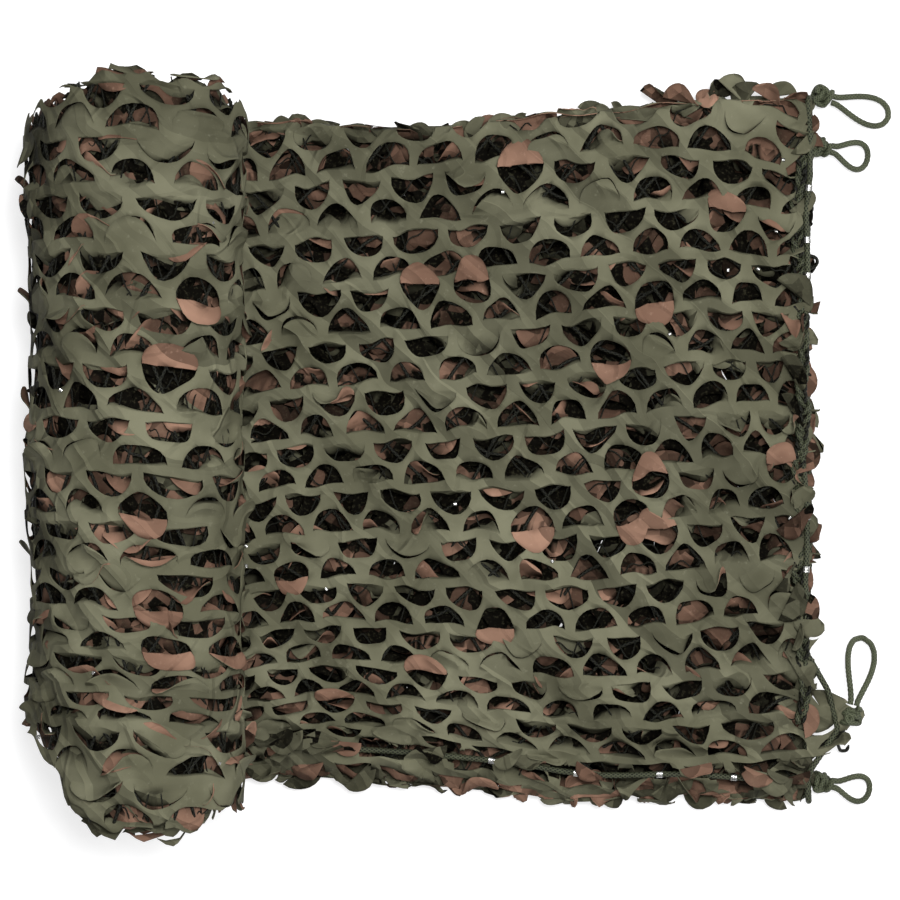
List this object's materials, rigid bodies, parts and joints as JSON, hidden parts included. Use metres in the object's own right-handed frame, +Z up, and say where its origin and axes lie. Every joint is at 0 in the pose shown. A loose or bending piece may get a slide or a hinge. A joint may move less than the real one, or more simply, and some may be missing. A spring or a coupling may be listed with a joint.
{
  "type": "camouflage net",
  "caption": "Leaf-cut two-colour camouflage net, folded back and forth into a strip and part rolled up, with a rope edge, crimped clips and knotted rope loops at the free end.",
  "frame": {"origin": "middle of the underside, on the surface that the folded net rests on, measured without the loops and their knots", "axes": "+X along the strip from the roll to the free end, -Y towards the cloth's free edges, +Z up"},
  "size_m": [0.8456, 0.7291, 0.2221],
  "materials": {
    "garnish_cloth": "matte, olive green outside and brown inside",
    "edge_rope": "matte braided cord",
    "clip_metal": "bright crimped metal"
  },
  "bodies": {
    "root": {"garnish": "garnish_cloth", "edge_rope": "edge_rope", "knot_a": "edge_rope", "knot_b": "edge_rope", "knot_c": "edge_rope", "knot_d": "edge_rope", "loop_a": "edge_rope", "loop_b": "edge_rope", "loop_c": "edge_rope", "loop_d": "edge_rope", "clip_01": "clip_metal", "clip_02": "clip_metal", "clip_03": "clip_metal", "clip_04": "clip_metal", "clip_05": "clip_metal", "clip_06": "clip_metal", "clip_07": "clip_metal", "clip_08": "clip_metal", "clip_09": "clip_metal", "clip_10": "clip_metal"}
  },
  "joints": []
}
